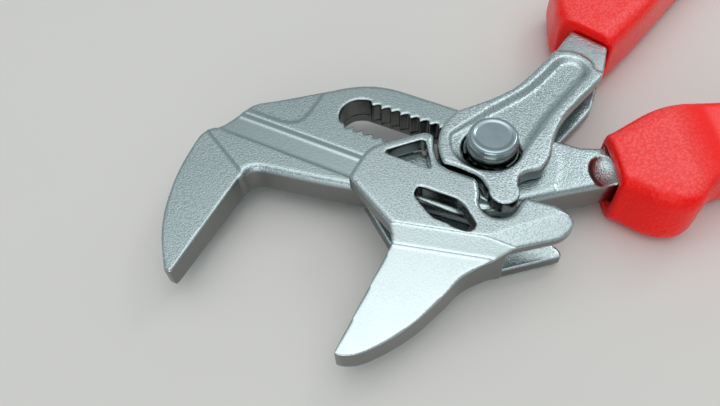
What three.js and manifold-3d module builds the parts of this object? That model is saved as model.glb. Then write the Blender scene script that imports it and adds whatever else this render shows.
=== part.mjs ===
// Pliers wrench: a body with a fixed jaw and a toothed slot, a sliding jaw and a forked lever that
// straddle it, a push-button bolt that locks the lever in the slot, and two moulded grips.
//
// Units are millimetres and +Z is up. The tool lies flat. The hinge bolt's axis is the Z axis, the
// sliding jaw travels along X, and the jaws point to -Y. Sizes are measured from the tool's middle
// plane, and the finished group is lifted so that the tool lies on Z = 0.

import * as THREE from 'three';
import { mergeVertices } from 'three/addons/utils/BufferGeometryUtils.js';
import Module from 'manifold-3d';

const wasm = await Module();
wasm.setup();

// Clearances
const SIDE_CLEARANCE = 0.3;       // body face to cheek
const SLIDE_CLEARANCE = 0.3;      // rib to groove wall, lobe to pocket
const BOLT_CLEARANCE = 0.3;       // bolt to lever bore and to slot
const TOOTH_CLEARANCE = 0.45;     // bolt tooth to rack tooth, across the slot
const SEAT_CLEARANCE = 0.3;       // tang to grip
const SPRING_SEAT_GAP = 0.1;      // spring to the parts it presses on
const INLAY_CLEARANCE = 0.2;      // soft inlay to its recess

// Thicknesses
const BODY_THICKNESS = 8;
const CHEEK_THICKNESS = 3.5;
const JAW_ROOT_THICKNESS = 6.9;
const BLADE_ROOT_THICKNESS = 7.4; // of the sliding jaw
const JAW_TIP_THICKNESS = 5;
const JAW_REACH = 27;             // length over which a jaw tapers
const EDGE_ROUND = 0.9;
const BODY_EDGE_WIDTH = 1.3;      // draft and rounding of the body's edges
const BODY_EDGE_HEIGHT = 2.6;

const BODY_HALF = BODY_THICKNESS / 2;
const CHEEK_INNER = BODY_HALF + SIDE_CLEARANCE;
const HEAD_HALF = CHEEK_INNER + CHEEK_THICKNESS;

// Jaws
const JAW_OPENING = 34.8;         // between the faces, as photographed
const MOVING_FACE_X = -9.4;
const FIXED_FACE_X = MOVING_FACE_X - JAW_OPENING;
const JAW_TIP_Y = -48.8;
const BLADE_TIP_Y = -49.5;        // of the sliding jaw
const FACE_TOP_Y = -24.9;
const FACE_GRIND = 0.6;           // depth of the ground face behind the forged edge
const FIXED_STEP_RUN = 0.75;      // slanting step at the root of the fixed jaw

// Toothed slot in the body, centred on the slide line
const TOOTH_PITCH = 2.25;
const SETTINGS = 13;
const TOOTH_DEPTH = 1.3;
const RACK_HALF_GAP = 3.5;        // slide line to tooth tips
const STEEP_FLANK = 0.3;          // share of the pitch taken by a tooth's steep side
const UPPER_TIP_X = 1.15;         // one tooth tip of each rack
const LOWER_TIP_X = -1.9;
const TOOTHED_DEPTH = 5.3;        // from the upper face down to the plain part of the slot
const PLAIN_SLOT_HALF = 5.3;
const PLAIN_SLOT_EXTRA = 0.4;     // how much longer the plain part is, at each end
const PLAIN_SLOT_ROUND = 5.2;
const SETTING_TRAVEL = TOOTH_PITCH * (SETTINGS - 1);
const SLOT_STEP_Z = BODY_HALF - TOOTHED_DEPTH;
const RACK_HALF_WIDTH = RACK_HALF_GAP + TOOTH_DEPTH;

// Guide groove on both faces of the body, and the ribs that run in it
const GROOVE_TOP_Y = -9.8;
const GROOVE_WIDTH = 6.05;
const GROOVE_DEPTH = 0.9;
const GROOVE_SLOPE = 0.8;         // run of the slanting upper wall
const RIB_LEFT_X = -21.5;
const RIB_RIGHT_X = 1.5;
const JOIN_OVERLAP = 0.1;         // rib sunk into its cheek

// Push-button bolt
const BOLT_RADIUS = 5.5;
const BUTTON_RADIUS = 4.82;
const BUTTON_PROUD = 3.5;         // above the lever
const BUTTON_TOP_Z = HEAD_HALF + BUTTON_PROUD;
const BUTTON_RIM = 1.4;           // height of the cap above the barrel
const BUTTON_CHAMFER = 0.4;
const BUTTON_RING = 0.7;          // width of the ring round the cap's sunk middle
const BUTTON_SUNK = 0.15;
const BUTTON_STROKE = 2.9;
const BARREL_RADIUS = 5.1;
const BARREL_DROP = 0.6;          // below the lever's face; stays above the body when pushed right in
const BARREL_START_Z = HEAD_HALF - BARREL_DROP;
const TOOTH_BLOCK_LIFT = 0.2;     // above the slot's step at rest
const PRESSED_CLEARANCE = 0.2;    // below the step when the button is pushed right in
const TOOTH_BLOCK_HEIGHT = BUTTON_STROKE - TOOTH_BLOCK_LIFT - PRESSED_CLEARANCE;
const FLANGE_THICKNESS = 0.8;
const FLAT_HALF = RACK_HALF_GAP - BOLT_CLEARANCE;
const BORE_RADIUS = BOLT_RADIUS + BOLT_CLEARANCE;
const TOOTH_BLOCK_LOW = SLOT_STEP_Z + TOOTH_BLOCK_LIFT;
const TOOTH_BLOCK_HIGH = TOOTH_BLOCK_LOW + TOOTH_BLOCK_HEIGHT;
const FLANGE_HIGH = SLOT_STEP_Z - BOLT_CLEARANCE;
const FLANGE_LOW = FLANGE_HIGH - FLANGE_THICKNESS;
const SLOT_END_ROOM = 1.2;        // bolt to the slot's ends at the first and last setting
const SLOT_LEFT_X = -SETTING_TRAVEL - BOLT_RADIUS - SLOT_END_ROOM;
const SLOT_RIGHT_X = BOLT_RADIUS + SLOT_END_ROOM;

// Cover disc and spring under the bolt
const COVER_THICKNESS = 0.9;
const COVER_HIGH = -HEAD_HALF + COVER_THICKNESS;
const SPRING_WIRE = 0.5;
const SPRING_RADIUS = 3.8;
const SPRING_TURNS = 1.75;        // few enough to lie flat when the button is pushed right in

// Lever
const LEVER_ANGLE = 75;           // shank direction from the slide line, as photographed
const BOSS_RADIUS = 11.9;
const BOSS_CENTRE = [0.9, 1.3];
const BOSS_GAP = 0.6;             // boss to the jaw cheek that wraps round it
const LOBE_RADIUS = 2.95;
const LOBE_CENTRE = [5.9, -9.15];
const FORK_END = 36;
const SHANK_END = 42.3;
const LEVER_TAPER = 1.55;         // loss of height from the boss to the grip, on each side
const TAPER_START = 9;
const PANEL_DEPTH = 1.2;
const PANEL_SLOPE = 1.2;          // width of the slope round the panel's floor
const PANEL_INSET = 0.5;          // floor's edge inside the panel's drawn outline
const PANEL_END = [30, 0.1];      // centre of the panel's round end, along and across the shank
const PANEL_END_RADIUS = 3.2;
const BEAD_CENTRE = [30, 0.6];    // of the rim round the panel's end
const BEAD_RADIUS = 5.45;
const NECK_START = 33.2;          // of the lower shank behind the rim
const NECK_DROP = 0.7;
const LEVER_TANG_LENGTH = 43;
const LEVER_TANG_ROOT = 1.5;      // tang sunk into the shank
const LEVER_MOUTH_ROOM = 5;       // space for the tang, ahead of the shank's end
const TANG_HALF = BODY_HALF;

// Sliding jaw
const POCKET_PLAY = 0.2;          // free play of the lobe in its pocket, on each side
const POCKET_HALF = LOBE_RADIUS + SLIDE_CLEARANCE + POCKET_PLAY;
const POCKET_X = LOBE_CENTRE[0] - POCKET_PLAY;
const POCKET_FLOOR_Y = -15.2;
const BEVEL_LEFT = [-9.6, -24.1]; // upper edge of the slope from the cheeks to the blade
const BEVEL_RIGHT = [6.1, -20];
const BEVEL_RUN = 2.3;
const BEVEL_OVERRUN = 14;         // past the blade's back, so that the slope runs out in the heel
const HEEL_BEVEL_END = [16.5, -10];
const HEEL_BEVEL_RUN = 4.4;
const HEEL_BEVEL_DROP = 1.6;
const WEB_DROP = 0.9;             // bevel edge to the top of the web that joins the cheeks
const WEB_OVERRUN = 4.4;          // web past the end of the bevel edge
const LOWER_CHEEK_EDGES = [
  [[-9.4, -24], [-30, -8.2]],
  [[22, -8.6], [8.2, -20.3]],
];

// Grips
const HANDLE_ANGLE = 30;          // body handle direction from the slide line
const BODY_GRIP_START = 23.5;
const BODY_GRIP_LENGTH = 90;
const BODY_GRIP_INNER = 9.2;      // inner edge, across the handle from the hinge axis
const LEVER_GRIP_START = SHANK_END + SEAT_CLEARANCE;
const LEVER_GRIP_LENGTH = 74.8;
const LEVER_GRIP_INNER = -3.7;
const GRIP_WIDTH = 16;
const GRIP_ROUND = 3.4;
const FRONT_ALLOWANCE = 8;
const LIP_RUN = 0.9;              // chamfer of the mouth's lip, along the grip
const LIP_DROP = 0.7;
const TANG_START = 19;
const TANG_INSET = 0.02;          // straight tang walls, inside the body's outline
const BODY_TANG_END = 62;
const INLAY_START = 30;
const INLAY_TAIL = 9;             // plain shell left behind the inlay
const INLAY_DEPTH = 2.4;
const INLAY_PROUD = 0.3;
const INLAY_EDGE = 0.2;           // inlay to the start of the shell's rounding
const INLAY_HALF = HEAD_HALF - GRIP_ROUND - INLAY_EDGE;
const HANDLE_DROP = 1.6;          // loss of height from the guard to the handle, on each side
const HANDLE_SLOPE = 8;           // length of that slope

// Shallow steps and the scoop in the body's faces
const STEP_DEPTH = 0.3;
const PAD_STEP = 0.15;
const TAIL_HALF = BODY_HALF - PAD_STEP;
const PAD_RADIUS = 14;            // raised pad round the hinge
const PAD_END_X = 7;
const MARK_RIGHT_X = -39.4;       // bare sunk field at the back of the jaw
const MARK_LOW_Y = -8.7;
const MARK_ROUND = 5;
const SCOOP_CENTRE = [21.9, -5.4]; // along and across the handle
const SCOOP_WALL = 2.9;           // length of the steep end, away from the grip
const SCOOP_FLOOR = 3.4;          // length of the end that rises towards the grip
const SCOOP_HALF_WIDTH = 4.1;
const SCOOP_DEPTH = 1.4;

const CURVE_STEPS = 6;
const ROUND_STEPS = 40;
const FAR = 200;

/** Returns an angle in radians. */
function radians(degrees) {
  return THREE.MathUtils.degToRad(degrees);
}

/** Turns a closed geometry into a solid that can be joined and cut. */
function toSolid(geometry) {
  const bare = geometry.index ? geometry.toNonIndexed() : geometry.clone();
  bare.deleteAttribute('normal');
  bare.deleteAttribute('uv');
  const merged = mergeVertices(bare, 1e-5);
  return new wasm.Manifold(new wasm.Mesh({
    numProp: 3,
    vertProperties: new Float32Array(merged.attributes.position.array),
    triVerts: new Uint32Array(merged.index.array),
  }));
}

/** Turns a solid into a geometry with flat faces. */
function toGeometry(solid) {
  const mesh = solid.getMesh();
  const geometry = new THREE.BufferGeometry();
  geometry.setAttribute('position', new THREE.BufferAttribute(mesh.vertProperties, 3));
  geometry.setIndex(new THREE.BufferAttribute(mesh.triVerts, 1));
  const flat = geometry.toNonIndexed();
  flat.computeVertexNormals();
  return flat;
}

/** Closed outline through corners [x, y, cut]; a cut rounds its corner, starting that far away from it. */
function outline(corners) {
  const shape = new THREE.Shape();
  corners.forEach(([x, y, cut = 0], index) => {
    const corner = new THREE.Vector2(x, y);
    const before = new THREE.Vector2(...corners.at(index - 1));
    const after = new THREE.Vector2(...corners[(index + 1) % corners.length]);
    const [, , after_cut = 0] = corners[(index + 1) % corners.length];
    if (corner.distanceTo(after) < cut + after_cut) {
      throw new Error(`the roundings after corner ${x}, ${y} overlap`);
    }
    const entry = corner.clone().add(before.sub(corner).setLength(cut));
    const exit = corner.clone().add(after.sub(corner).setLength(cut));
    if (index === 0) {
      shape.moveTo(entry.x, entry.y);
    } else {
      shape.lineTo(entry.x, entry.y);
    }
    if (cut > 0) {
      shape.quadraticCurveTo(corner.x, corner.y, exit.x, exit.y);
    }
  });
  shape.closePath();
  return shape;
}

/** Points of a circular arc, both ends included. */
function arcPoints([x, y], radius, startDegrees, endDegrees, steps) {
  return Array.from({ length: steps + 1 }, (_, step) => {
    const angle = radians(startDegrees + (endDegrees - startDegrees) * step / steps);
    return [x + radius * Math.cos(angle), y + radius * Math.sin(angle)];
  });
}

/** Plate with square edges. */
function plate(shape, low, high) {
  const geometry = new THREE.ExtrudeGeometry(shape, {
    depth: high - low,
    bevelEnabled: false,
    curveSegments: CURVE_STEPS,
  });
  return toSolid(geometry.translate(0, 0, low));
}

/** Plate whose outer edges are rounded on both faces, within its outline. */
function roundedPlate(shape, low, high, width, segments = 2, height = width) {
  const geometry = new THREE.ExtrudeGeometry(shape, {
    depth: high - low - 2 * height,
    bevelThickness: height,
    bevelSize: width,
    bevelOffset: -width,
    bevelSegments: segments,
    curveSegments: CURVE_STEPS,
  });
  return toSolid(geometry.translate(0, 0, low + height));
}

/** Rectangular block between two corners. */
function block([x0, y0, z0], [x1, y1, z1]) {
  const geometry = new THREE.BoxGeometry(x1 - x0, y1 - y0, z1 - z0);
  return toSolid(geometry.translate((x0 + x1) / 2, (y0 + y1) / 2, (z0 + z1) / 2));
}

/** Upright round bar. */
function round(radius, low, high, [x, y] = [0, 0]) {
  const geometry = new THREE.CylinderGeometry(radius, radius, high - low, ROUND_STEPS);
  return toSolid(geometry.rotateX(Math.PI / 2).translate(x, y, (low + high) / 2));
}

/** Prism along a level line. Its section is drawn as [distance to the line's left, height]. */
function prism([x, y], degrees, length, section) {
  const shape = new THREE.Shape(section.map(([across, height]) => new THREE.Vector2(across, height)));
  const geometry = new THREE.ExtrudeGeometry(shape, { depth: length, bevelEnabled: false });
  const along = new THREE.Vector3(Math.cos(radians(degrees)), Math.sin(radians(degrees)), 0);
  const up = new THREE.Vector3(0, 0, 1);
  const left = new THREE.Vector3().crossVectors(up, along);
  const frame = new THREE.Matrix4().makeBasis(left, up, along).setPosition(x, y, 0);
  return toSolid(geometry.applyMatrix4(frame));
}

/** The same cut on the upper and the lower side. */
function cutBothSides(solid, cutter) {
  return solid.subtract(cutter).subtract(cutter.mirror([0, 0, 1]));
}

/** Turns a solid about the hinge axis. */
function turned(solid, degrees) {
  return solid.rotate([0, 0, degrees]);
}

/** Point given along and across a handle, in the tool's own X and Y. */
function handlePoint([along, across, cut], degrees) {
  const cosine = Math.cos(radians(degrees));
  const sine = Math.sin(radians(degrees));
  return [along * cosine - across * sine, along * sine + across * cosine, cut];
}

/**
 * Toothed edge from left to right, between two limits, for a rack above the slide line.
 *
 * Each tooth rises slowly from its tip to the full depth and falls back steeply. One tip stands at tip_x.
 */
function rackEdge(tip_x, from, to, tip_height, depth) {
  const first = Math.ceil((from - tip_x) / TOOTH_PITCH);
  const last = Math.floor((to - tip_x) / TOOTH_PITCH);
  const points = [];
  for (let tooth = first; tooth <= last; tooth += 1) {
    points.push([tip_x + tooth * TOOTH_PITCH, tip_height]);
    if (tooth < last) {
      points.push([tip_x + (tooth + 1 - STEEP_FLANK) * TOOTH_PITCH, tip_height + depth]);
    }
  }
  return points;
}

/** Both toothed edges of the slot or of the bolt, clockwise; the lower is the upper's half turn. */
function toothedEdges(left, right, tip_height) {
  return {
    upper: rackEdge(UPPER_TIP_X, left, right, tip_height, TOOTH_DEPTH),
    lower: rackEdge(-LOWER_TIP_X, -right, -left, tip_height, TOOTH_DEPTH).map(([x, y]) => [-x, -y]),
  };
}

/** Opening of the toothed part of the slot. */
function toothedSlotShape() {
  const left = [SLOT_LEFT_X + RACK_HALF_WIDTH, 0];
  const right = [SLOT_RIGHT_X - RACK_HALF_WIDTH, 0];
  const { upper } = toothedEdges(left[0], right[0] + 2, RACK_HALF_GAP);
  const { lower } = toothedEdges(SLOT_LEFT_X + 2, right[0] + 3, RACK_HALF_GAP);
  const left_end = arcPoints(left, RACK_HALF_WIDTH, 228, 90, 14);
  const right_end = arcPoints(right, RACK_HALF_WIDTH, 48, -48, 10);
  const points = [...left_end, ...upper, ...right_end, ...lower];
  return new THREE.Shape(points.map(([x, y]) => new THREE.Vector2(x, y)));
}

/** Lower and upper edge of the body's tang, along and across the handle, widened by a clearance. */
function bodyTangEdges(clearance) {
  const end = BODY_TANG_END + clearance;
  const lower = [[TANG_START, -8.8 - clearance], [end, -1.4 - clearance]];
  const upper = [[end, 3.6 + clearance], [24, 1.2 + clearance, 2], [TANG_START, 1.9 + clearance]];
  return [...lower, ...upper];
}

/** Outline of the body: fixed jaw, plate round the slot, tail and the tang inside the grip. */
function bodyShape() {
  const tail = [[12.5, -9.7, 2], ...bodyTangEdges(0)].map((point) => handlePoint(point, HANDLE_ANGLE));
  return outline([
    [FIXED_FACE_X + FACE_GRIND, JAW_TIP_Y - 2.7],
    [FIXED_FACE_X + FACE_GRIND, -22.1, 3],
    [-27, -19.1, 4],
    [-18, -17, 3],
    [-11, -13.4, 3],
    [3.5, -12.2, 3],
    ...tail,
    [9.5, 10.9, 2],
    [-31.1, 10.9, 7],
    [-47.8, -2.7, 3],
    [-52.5, -6, 1.8],
    [-54, -10, 1],
    [-55.6, -14.4, 1.5],
    [-58.8, -17.4, 2.4],
    [-57.6, -28.3, 6],
    [-53, -40.6, 6],
  ]);
}

/** Height of a jaw's flat, away from its root, as a cutting section that starts with the given step. */
function jawSection(step_run, step_height, root_thickness) {
  return [
    [0, step_height],
    [step_run, root_thickness / 2],
    [step_run + JAW_REACH, JAW_TIP_THICKNESS / 2],
    [step_run + JAW_REACH, FAR],
    [0, FAR],
  ];
}

/** Direction and length of a level line. */
function lineTo([x0, y0], [x1, y1]) {
  return {
    degrees: THREE.MathUtils.radToDeg(Math.atan2(y1 - y0, x1 - x0)),
    length: Math.hypot(x1 - x0, y1 - y0),
  };
}

/** Body forging. */
function makeBody() {
  let solid = roundedPlate(bodyShape(), -BODY_HALF, BODY_HALF, BODY_EDGE_WIDTH, 3, BODY_EDGE_HEIGHT);

  // The jaw's flat sides taper to the tip, below a slanting step at the jaw's root.
  const root_start = [-42.6, -24.3];
  const root_end = [-57.2, -16.9];
  const root = lineTo(root_start, root_end);
  const margin = 12;
  const start = handlePoint([-margin, 0], root.degrees);
  const jaw_cut = prism(
    [root_start[0] + start[0], root_start[1] + start[1]],
    root.degrees,
    root.length + 2 * margin,
    jawSection(FIXED_STEP_RUN, BODY_HALF, JAW_ROOT_THICKNESS),
  );
  const jaw_zone = block([-FAR, -FAR, -FAR], [FIXED_FACE_X + 4, -14.6, FAR]);
  solid = cutBothSides(solid, jaw_cut.intersect(jaw_zone));
  solid = solid.subtract(block([FIXED_FACE_X, -FAR, -FAR], [FIXED_FACE_X + 6, FACE_TOP_Y, FAR]));
  solid = solid.subtract(block([-FAR, -FAR, -FAR], [FIXED_FACE_X + 6, JAW_TIP_Y, FAR]));

  // Slot: toothed above, plain and wider below.
  solid = solid.subtract(plate(toothedSlotShape(), SLOT_STEP_Z, FAR));
  const plain_left = SLOT_LEFT_X - PLAIN_SLOT_EXTRA;
  const plain_right = SLOT_RIGHT_X + PLAIN_SLOT_EXTRA;
  const plain_slot = outline([
    [plain_left, -PLAIN_SLOT_HALF, PLAIN_SLOT_ROUND],
    [plain_right, -PLAIN_SLOT_HALF, PLAIN_SLOT_ROUND],
    [plain_right, PLAIN_SLOT_HALF, PLAIN_SLOT_ROUND],
    [plain_left, PLAIN_SLOT_HALF, PLAIN_SLOT_ROUND],
  ]);
  solid = solid.subtract(plate(plain_slot, -FAR, SLOT_STEP_Z));

  // Guide groove, open at both ends.
  const groove_floor = BODY_HALF - GROOVE_DEPTH;
  const groove = prism([-FAR, 0], 0, 2 * FAR, [
    [GROOVE_TOP_Y - GROOVE_WIDTH, groove_floor],
    [GROOVE_TOP_Y - GROOVE_SLOPE, groove_floor],
    [GROOVE_TOP_Y, BODY_HALF],
    [GROOVE_TOP_Y, FAR],
    [GROOVE_TOP_Y - GROOVE_WIDTH, FAR],
  ]);
  solid = cutBothSides(solid, groove);

  // The tail lies lower than the pad round the hinge, and a field at the jaw's back is sunk.
  const step_low = BODY_HALF - STEP_DEPTH;
  const pad = round(PAD_RADIUS, -FAR, FAR);
  const tail_step = block([PAD_END_X, -FAR, TAIL_HALF], [FAR, FAR, FAR]).subtract(pad);
  const mark = outline([
    [-FAR, MARK_LOW_Y],
    [MARK_RIGHT_X, MARK_LOW_Y, MARK_ROUND],
    [MARK_RIGHT_X, FAR],
    [-FAR, FAR],
  ]);
  solid = cutBothSides(solid, tail_step);
  solid = cutBothSides(solid, plate(mark, step_low, FAR));

  // From the grip's mouth on the tang's walls are straight, so that the grip fits closely.
  const tang = outline(bodyTangEdges(-TANG_INSET).map((point) => handlePoint(point, HANDLE_ANGLE)));
  const in_grip = turned(block([BODY_GRIP_START, -FAR, -FAR], [FAR, FAR, FAR]), HANDLE_ANGLE);
  solid = solid.add(plate(tang, -TAIL_HALF, TAIL_HALF).intersect(in_grip));

  // Dished scoop in the tail, half under the grip.
  const [scoop_x, scoop_y] = handlePoint(SCOOP_CENTRE, HANDLE_ANGLE);
  const ball = toSolid(new THREE.SphereGeometry(1, 32, 20));
  const stretched = ball.warp((point) => {
    point[0] *= point[0] < 0 ? SCOOP_WALL : SCOOP_FLOOR;
    point[1] *= SCOOP_HALF_WIDTH;
    point[2] *= SCOOP_DEPTH;
  });
  const scoop = turned(stretched, HANDLE_ANGLE).translate([scoop_x, scoop_y, TAIL_HALF]);
  return cutBothSides(solid, scoop);
}

/** Outline of the sliding jaw: cheeks, lobe pocket, heel and blade. */
function jawShape() {
  const wrap = arcPoints(BOSS_CENTRE, BOSS_RADIUS + BOSS_GAP, 203, 226, 4);
  const pocket_centre = [POCKET_X, POCKET_FLOOR_Y + POCKET_HALF];
  const pocket = arcPoints(pocket_centre, POCKET_HALF, 180, 360, 12);
  return outline([
    [MOVING_FACE_X, BLADE_TIP_Y - 0.6],
    [MOVING_FACE_X, -25.4, 1.5],
    [-22.5, -18.4, 1.2],
    [-22.5, -9.8, 3.5],
    [-13.4, -1.35, 1.1],
    [-11.4, -1.6, 0.85],
    ...wrap,
    [-5.6, -8.4, 1],
    [0.4, -8.3, 1.2],
    ...pocket,
    [POCKET_X + POCKET_HALF + 0.3, -8.7, 1],
    [16, -8, 1.5],
    [20, -9.7, 1.8],
    [19, -13.5, 2],
    [8.2, -22.4, 2.6],
    [4.7, -27.4, 1.8],
    [3.8, -31, 1.8],
    [0.9, -39, 3.5],
    [-2.2, -44.1, 2],
    [-5.6, -48.3, 2],
  ]);
}

/** Sliding jaw forging. */
function makeSlidingJaw() {
  let solid = roundedPlate(jawShape(), -HEAD_HALF, HEAD_HALF, EDGE_ROUND);

  // Slope from the cheeks to the tapering blade, and the slope round the heel.
  const bevel = lineTo(BEVEL_RIGHT, BEVEL_LEFT);
  const bevel_start = handlePoint([-BEVEL_OVERRUN, 0], bevel.degrees);
  const blade_start = [BEVEL_RIGHT[0] + bevel_start[0], BEVEL_RIGHT[1] + bevel_start[1]];
  const blade_section = jawSection(BEVEL_RUN, HEAD_HALF, BLADE_ROOT_THICKNESS);
  const blade_cut = prism(blade_start, bevel.degrees, FAR, blade_section);
  const heel = lineTo(HEEL_BEVEL_END, BEVEL_RIGHT);
  const heel_margin = 20;
  const heel_start = handlePoint([-heel_margin, 0], heel.degrees);
  const heel_cut = prism(
    [HEEL_BEVEL_END[0] + heel_start[0], HEEL_BEVEL_END[1] + heel_start[1]],
    heel.degrees,
    heel.length + heel_margin,
    [
      [0, HEAD_HALF],
      [HEEL_BEVEL_RUN, HEAD_HALF - HEEL_BEVEL_DROP],
      [4 * HEEL_BEVEL_RUN, HEAD_HALF - HEEL_BEVEL_DROP],
      [4 * HEEL_BEVEL_RUN, FAR],
      [0, FAR],
    ],
  );
  solid = cutBothSides(solid, blade_cut);
  solid = cutBothSides(solid, heel_cut);
  solid = solid.subtract(block([-FAR, -FAR, -FAR], [FAR, BLADE_TIP_Y, FAR]));

  // Gap for the body, down to the web that joins the cheeks.
  const slope = (BEVEL_RIGHT[1] - BEVEL_LEFT[1]) / (BEVEL_RIGHT[0] - BEVEL_LEFT[0]);
  const web_x = BEVEL_RIGHT[0] + WEB_OVERRUN;
  const webTop = (x) => BEVEL_RIGHT[1] - WEB_DROP + slope * (x - BEVEL_RIGHT[0]);
  const gap = outline([
    [-FAR, FAR],
    [-FAR, webTop(-FAR)],
    [web_x, webTop(web_x)],
    [web_x + 2, webTop(web_x) - 6],
    [FAR, webTop(web_x) - 6],
    [FAR, FAR],
  ]);
  solid = solid.subtract(plate(gap, -CHEEK_INNER, CHEEK_INNER));

  // The lower cheek is cut back from the edge of the upper one, beside the blade and along the heel.
  for (const [from, to] of LOWER_CHEEK_EDGES) {
    const edge = lineTo(from, to);
    const trim_high = -CHEEK_INNER + SIDE_CLEARANCE;
    solid = solid.subtract(prism(from, edge.degrees, edge.length, [
      [0, -FAR],
      [FAR, -FAR],
      [FAR, trim_high],
      [0, trim_high],
    ]));
  }

  // Windows through both cheeks.
  const triangle = outline([[-19.2, -10.1, 1.6], [-8.4, -10.1, 1.2], [-12.7, -3.5, 1]]);
  const diamond = outline([
    [-9.3, -14.7, 1],
    [-0.5, -14.5, 2],
    [4.1, -18.5, 0.9],
    [3.2, -20.6, 1],
    [-4.3, -20.2, 1.5],
    [-9.2, -17, 1],
  ]);
  for (const window of [triangle, diamond]) {
    solid = solid.subtract(plate(window, -FAR, FAR));
  }

  // Ribs that run in the body's grooves.
  const rib = block(
    [RIB_LEFT_X, GROOVE_TOP_Y - GROOVE_WIDTH + SLIDE_CLEARANCE, BODY_HALF - GROOVE_DEPTH + SIDE_CLEARANCE],
    [RIB_RIGHT_X, GROOVE_TOP_Y - GROOVE_SLOPE - SLIDE_CLEARANCE, CHEEK_INNER + JOIN_OVERLAP],
  ).subtract(plate(triangle, -FAR, FAR));
  return solid.add(rib).add(rib.mirror([0, 0, 1]));
}

/** Outline of the lever's boss and shank, along and across the shank. */
function leverShape() {
  const [boss_along, boss_across] = handlePoint(BOSS_CENTRE, -LEVER_ANGLE);
  const boss = arcPoints([boss_along, boss_across], BOSS_RADIUS, 153, 78, 10);
  return outline([
    [SHANK_END, -2.2],
    [32.5, -6.5, 2],
    [16, -6.2, 4],
    [9.5, -8.3, 2],
    [5, -10.5, 2],
    [1.8, -10.6, 1],
    [-0.4, -8.8, 0.9],
    [-2.3, -8.2, 0.9],
    [-6.2, -10.3],
    [-9.9, -7.2],
    [-7.3, -2.6, 1.2],
    [-8.2, 2.3, 1.5],
    ...boss,
    [11.5, 7.4, 3],
    [18, 5.5, 3.5],
    [33, 5.8, 3],
    [SHANK_END, 7],
  ]);
}

/** Outline of the sunk panel's floor in the lever, along and across the shank. */
function panelShape() {
  const end = arcPoints(PANEL_END, PANEL_END_RADIUS, -80, 90, 8);
  const head = arcPoints([0.6, 1.6], 7.4, 112, 268, 14);
  return outline([
    ...end,
    [19, 3.1, 4],
    [10.5, 5.2, 4],
    ...head,
    [9.5, -4.2, 2.5],
    [15, -3.5, 2.5],
  ]);
}

/** Lever forging: two cheeks that straddle the body, joined in the shank, with a tang inside the grip. */
function makeLever() {
  let solid = roundedPlate(leverShape(), -HEAD_HALF, HEAD_HALF, EDGE_ROUND / 2, 1);
  const lobe = handlePoint(LOBE_CENTRE, -LEVER_ANGLE);
  solid = solid.add(round(LOBE_RADIUS, -HEAD_HALF, HEAD_HALF, lobe));

  // The outer faces fall away towards the grip. The panel and the step behind its rim follow them.
  const taper_length = SHANK_END - TAPER_START;
  const taper_degrees = THREE.MathUtils.radToDeg(Math.atan2(LEVER_TAPER, taper_length));
  const wedge = prism([0, -FAR / 2], 90, FAR, [
    [-TAPER_START, HEAD_HALF],
    [-SHANK_END - taper_length, HEAD_HALF - 2 * LEVER_TAPER],
    [-SHANK_END - taper_length, FAR],
    [-TAPER_START, FAR],
  ]);
  solid = cutBothSides(solid, wedge);
  const panel_geometry = new THREE.ExtrudeGeometry(panelShape(), {
    depth: 20,
    bevelThickness: PANEL_DEPTH,
    bevelSize: PANEL_SLOPE,
    bevelOffset: -PANEL_INSET,
    bevelSegments: 1,
    curveSegments: CURVE_STEPS,
  });
  const neck = block([NECK_START, -FAR, -NECK_DROP], [FAR, FAR, FAR])
    .subtract(round(BEAD_RADIUS, -FAR, FAR, BEAD_CENTRE));
  for (const cutter of [toSolid(panel_geometry), neck]) {
    const placed = cutter
      .translate([-TAPER_START, 0, 0])
      .rotate([0, taper_degrees, 0])
      .translate([TAPER_START, 0, HEAD_HALF]);
    solid = cutBothSides(solid, placed);
  }

  // Fork gap with a round end, bolt bore and tang.
  const gap_end = new THREE.CylinderGeometry(CHEEK_INNER, CHEEK_INNER, FAR, 24);
  const fork_start = FORK_END - CHEEK_INNER;
  solid = solid.subtract(block([-FAR, -FAR, -CHEEK_INNER], [fork_start, FAR, CHEEK_INNER]));
  solid = solid.subtract(toSolid(gap_end.translate(fork_start, 0, 0)));
  solid = solid.subtract(round(BORE_RADIUS, -FAR, FAR));
  solid = solid.add(leverTang(0, SHANK_END - LEVER_TANG_ROOT));
  return turned(solid, LEVER_ANGLE);
}

/** Tang of the lever inside its grip, or the space for it when a clearance is given. */
function leverTang(clearance, start) {
  const end = SHANK_END + LEVER_TANG_LENGTH + clearance;
  const shape = outline([
    [start, -2.2 - clearance],
    [end, 1.3 - clearance],
    [end, 7.3 + clearance],
    [start, 5.4 + clearance],
  ]);
  return plate(shape, -TANG_HALF - clearance, TANG_HALF + clearance);
}

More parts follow.
